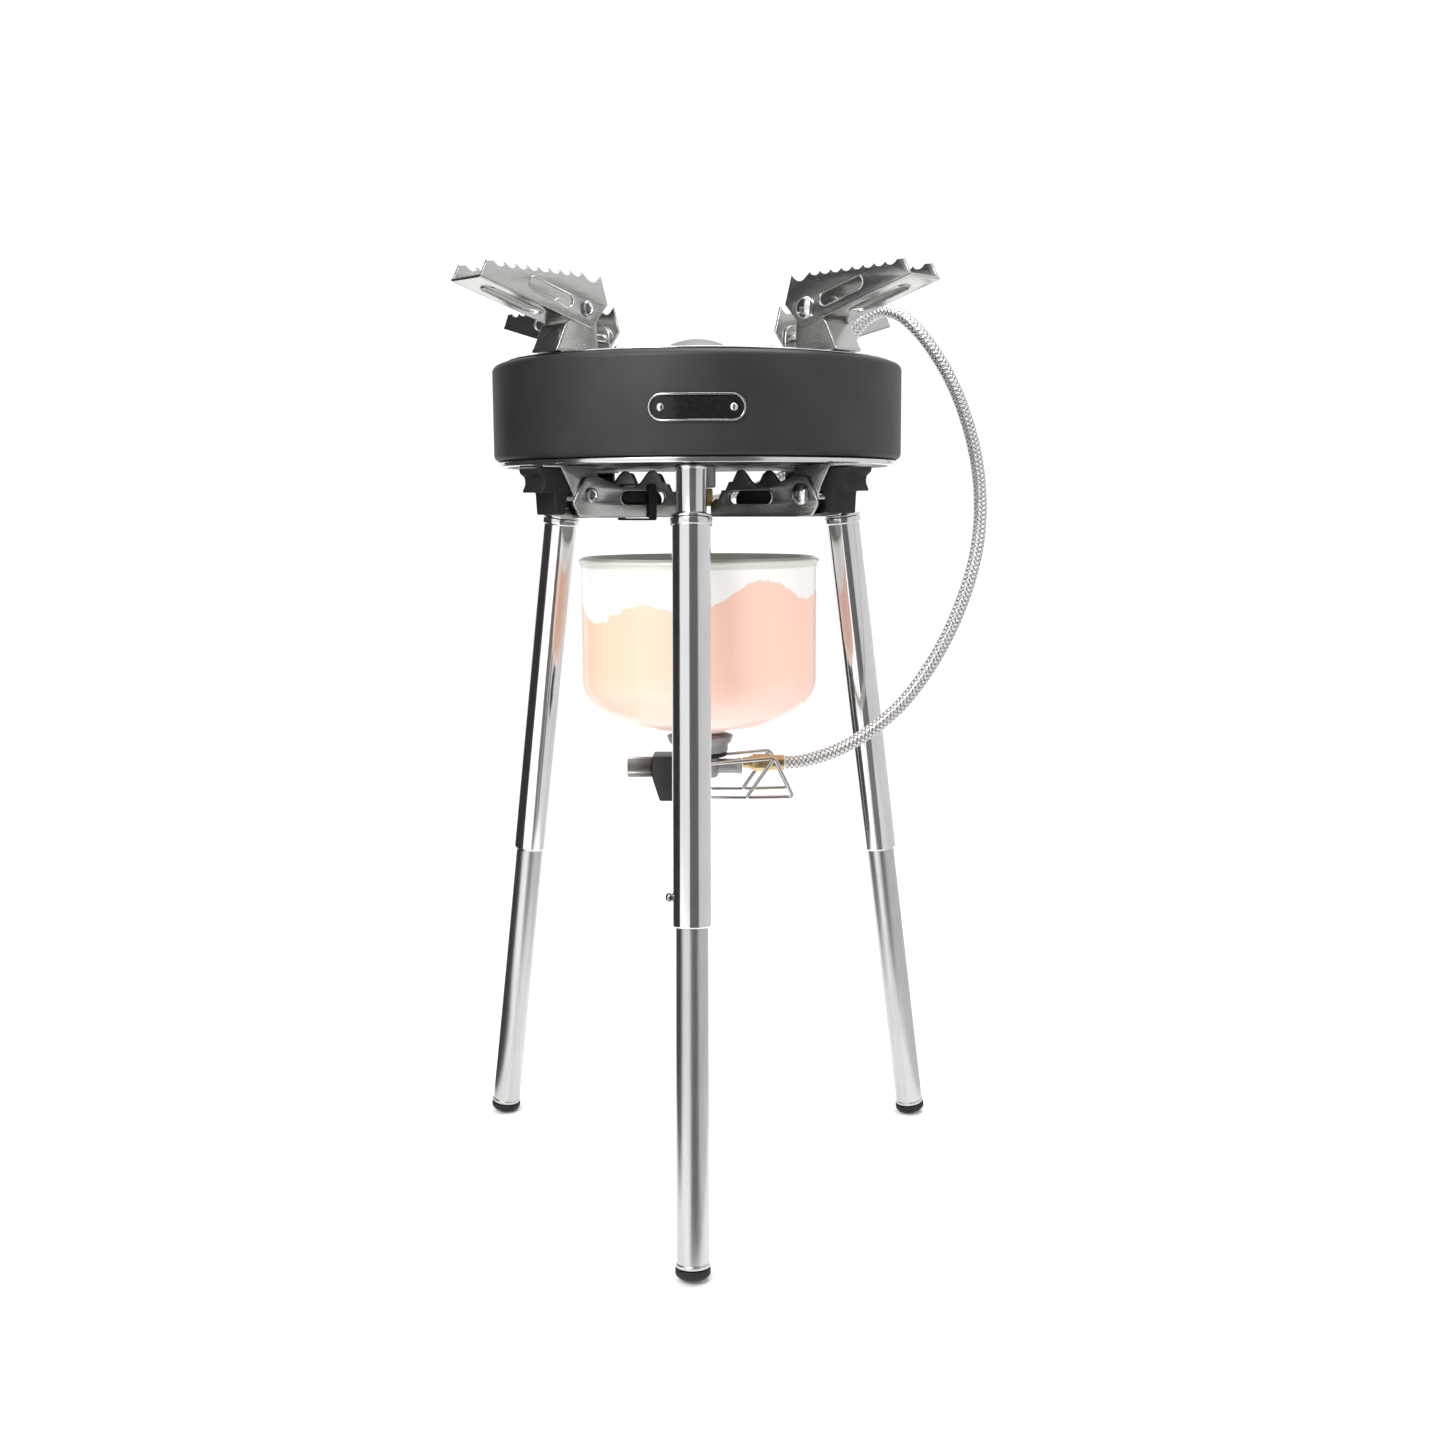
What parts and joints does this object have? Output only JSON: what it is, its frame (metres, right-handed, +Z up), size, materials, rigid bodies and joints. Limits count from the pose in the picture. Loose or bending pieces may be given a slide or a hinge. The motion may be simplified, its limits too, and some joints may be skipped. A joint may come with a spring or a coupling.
{
  "type": "tripod camping gas stove",
  "caption": "Tripod camping stove: ring burner on telescopic legs, folding serrated pan supports and short legs, inverted gas canister on a remote valve with a braided hose.",
  "frame": {"origin": "on the floor under the middle of the box, without the hose", "axes": "+Z up; the badge and the single front leg face -Y; +X is the side the hose bows out on"},
  "size_m": [0.2466, 0.256, 0.4058],
  "materials": {
    "black_coat": "matte heat-proof coat",
    "brushed_steel": "brushed stainless sheet",
    "polished_steel": "polished stainless",
    "cast_alloy": "as cast",
    "brass": "turned",
    "rubber": "matte",
    "black_plastic": "moulded",
    "gunmetal": "anodised, knurled",
    "braided_hose": "steel braid under a clear sleeve",
    "canister_paint": "gloss print, pale"
  },
  "bodies": {
    "stove": {"ring_shell": "black_coat", "base_plate": "brushed_steel", "top_plate": "polished_steel", "burner_cap": "cast_alloy", "burner_cup": "cast_alloy", "gas_pipe": "brass", "inlet_nut": "brass", "badge_frame": "polished_steel", "badge_plate": "black_coat", "support_bracket_1": "brushed_steel", "support_pin_1": "polished_steel", "leg_bracket_1": "brushed_steel", "short_leg_pin_1": "polished_steel", "hose_cleat_1": "rubber", "support_bracket_2": "brushed_steel", "support_pin_2": "polished_steel", "leg_bracket_2": "brushed_steel", "short_leg_pin_2": "polished_steel", "hose_cleat_2": "rubber", "support_bracket_3": "brushed_steel", "support_pin_3": "polished_steel", "leg_bracket_3": "brushed_steel", "short_leg_pin_3": "polished_steel", "hose_cleat_3": "rubber", "support_bracket_4": "brushed_steel", "support_pin_4": "polished_steel", "leg_bracket_4": "brushed_steel", "short_leg_pin_4": "polished_steel", "hose_cleat_4": "rubber", "valve_body": "cast_alloy", "valve_foot_block": "black_plastic", "hose_nut": "brass", "hose": "braided_hose"},
    "pot_support_1": {"pot_support_1": "brushed_steel"},
    "short_leg_1": {"short_leg_1": "brushed_steel"},
    "pot_support_2": {"pot_support_2": "brushed_steel"},
    "short_leg_2": {"short_leg_2": "brushed_steel"},
    "pot_support_3": {"pot_support_3": "brushed_steel"},
    "short_leg_3": {"short_leg_3": "brushed_steel"},
    "pot_support_4": {"pot_support_4": "brushed_steel"},
    "short_leg_4": {"short_leg_4": "brushed_steel"},
    "leg_1": {"leg_post_1": "polished_steel", "upper_tube_1": "polished_steel"},
    "lower_leg_1": {"lower_tube_1": "polished_steel", "foot_cap_1": "rubber"},
    "snap_button_1": {"snap_button_1": "polished_steel"},
    "leg_2": {"leg_post_2": "polished_steel", "upper_tube_2": "polished_steel"},
    "lower_leg_2": {"lower_tube_2": "polished_steel", "foot_cap_2": "rubber"},
    "snap_button_2": {"snap_button_2": "polished_steel"},
    "leg_3": {"leg_post_3": "polished_steel", "upper_tube_3": "polished_steel"},
    "lower_leg_3": {"lower_tube_3": "polished_steel", "foot_cap_3": "rubber"},
    "snap_button_3": {"snap_button_3": "polished_steel"},
    "canister": {"canister": "canister_paint"},
    "valve_knob": {"valve_knob": "gunmetal"},
    "wire_foot_near": {"wire_foot_near": "polished_steel"},
    "wire_foot_far": {"wire_foot_far": "polished_steel"}
  },
  "joints": [
    {"name": "pot_support_1_fold", "type": "hinge", "parent": "stove", "child": "pot_support_1", "pos_m": [-0.04979, -0.0389, 0.3915], "axis": [-0.7314, 0.682, 0], "range_deg": [0, 165]},
    {"name": "pot_support_2_fold", "type": "hinge", "parent": "stove", "child": "pot_support_2", "pos_m": [0.05339, -0.0353, 0.3915], "axis": [-0.682, -0.7314, 0], "range_deg": [0, 165]},
    {"name": "pot_support_3_fold", "type": "hinge", "parent": "stove", "child": "pot_support_3", "pos_m": [0.04979, 0.06788, 0.3915], "axis": [0.7314, -0.682, 0], "range_deg": [0, 165]},
    {"name": "pot_support_4_fold", "type": "hinge", "parent": "stove", "child": "pot_support_4", "pos_m": [-0.05339, 0.06427, 0.3915], "axis": [0.682, 0.7314, 0], "range_deg": [0, 165]},
    {"name": "short_leg_1_fold", "type": "hinge", "parent": "stove", "child": "short_leg_1", "pos_m": [-0.04949, -0.03712, 0.3155], "axis": [-0.7218, 0.6921, 0], "range_deg": [0, 16]},
    {"name": "short_leg_2_fold", "type": "hinge", "parent": "stove", "child": "short_leg_2", "pos_m": [0.05161, -0.035, 0.3155], "axis": [-0.6921, -0.7218, 0], "range_deg": [0, 16]},
    {"name": "short_leg_3_fold", "type": "hinge", "parent": "stove", "child": "short_leg_3", "pos_m": [0.04949, 0.06609, 0.3155], "axis": [0.7218, -0.6921, 0], "range_deg": [0, 16]},
    {"name": "short_leg_4_fold", "type": "hinge", "parent": "stove", "child": "short_leg_4", "pos_m": [-0.05161, 0.06398, 0.3155], "axis": [0.6921, 0.7218, 0], "range_deg": [0, 16]},
    {"name": "leg_1_unscrew", "type": "hinge", "parent": "stove", "child": "leg_1", "pos_m": [0, -0.0607, 0.3254], "axis": [0, 0.1412, 0.99], "continuous": true},
    {"name": "leg_1_telescope", "type": "slide", "parent": "leg_1", "child": "lower_leg_1", "axis": [0, 0.1412, 0.99], "range_m": [0, 0.137]},
    {"name": "snap_button_1_press", "type": "slide", "parent": "leg_1", "child": "snap_button_1", "axis": [1, 0, 0], "range_m": [0, 0.002], "stiffness_N_per_m": 500},
    {"name": "leg_2_unscrew", "type": "hinge", "parent": "stove", "child": "leg_2", "pos_m": [0.06512, 0.05208, 0.3254], "axis": [-0.1223, -0.0706, 0.99], "continuous": true},
    {"name": "leg_2_telescope", "type": "slide", "parent": "leg_2", "child": "lower_leg_2", "axis": [-0.1223, -0.0706, 0.99], "range_m": [0, 0.137]},
    {"name": "snap_button_2_press", "type": "slide", "parent": "leg_2", "child": "snap_button_2", "axis": [0.5, -0.866, 0], "range_m": [0, 0.002], "stiffness_N_per_m": 500},
    {"name": "leg_3_unscrew", "type": "hinge", "parent": "stove", "child": "leg_3", "pos_m": [-0.06512, 0.05208, 0.3254], "axis": [0.1223, -0.0706, 0.99], "continuous": true},
    {"name": "leg_3_telescope", "type": "slide", "parent": "leg_3", "child": "lower_leg_3", "axis": [0.1223, -0.0706, 0.99], "range_m": [0, 0.137]},
    {"name": "snap_button_3_press", "type": "slide", "parent": "leg_3", "child": "snap_button_3", "axis": [-0.5, -0.866, 0], "range_m": [0, 0.002], "stiffness_N_per_m": 500},
    {"name": "canister_unscrew", "type": "hinge", "parent": "stove", "child": "canister", "pos_m": [0, 0.01449, 0.21], "axis": [0, 0, 1], "continuous": true},
    {"name": "valve_knob_turn", "type": "hinge", "parent": "stove", "child": "valve_knob", "pos_m": [-0.028, 0.01449, 0.1905], "axis": [-1, 0, 0], "range_deg": [0, 720]},
    {"name": "wire_foot_near_swing", "type": "hinge", "parent": "stove", "child": "wire_foot_near", "pos_m": [-0.0084, 0.00329, 0.178], "axis": [0, 0, -1], "range_deg": [0, 40]},
    {"name": "wire_foot_far_swing", "type": "hinge", "parent": "stove", "child": "wire_foot_far", "pos_m": [-0.0084, 0.02569, 0.178], "axis": [0, 0, 1], "range_deg": [0, 40]}
  ]
}
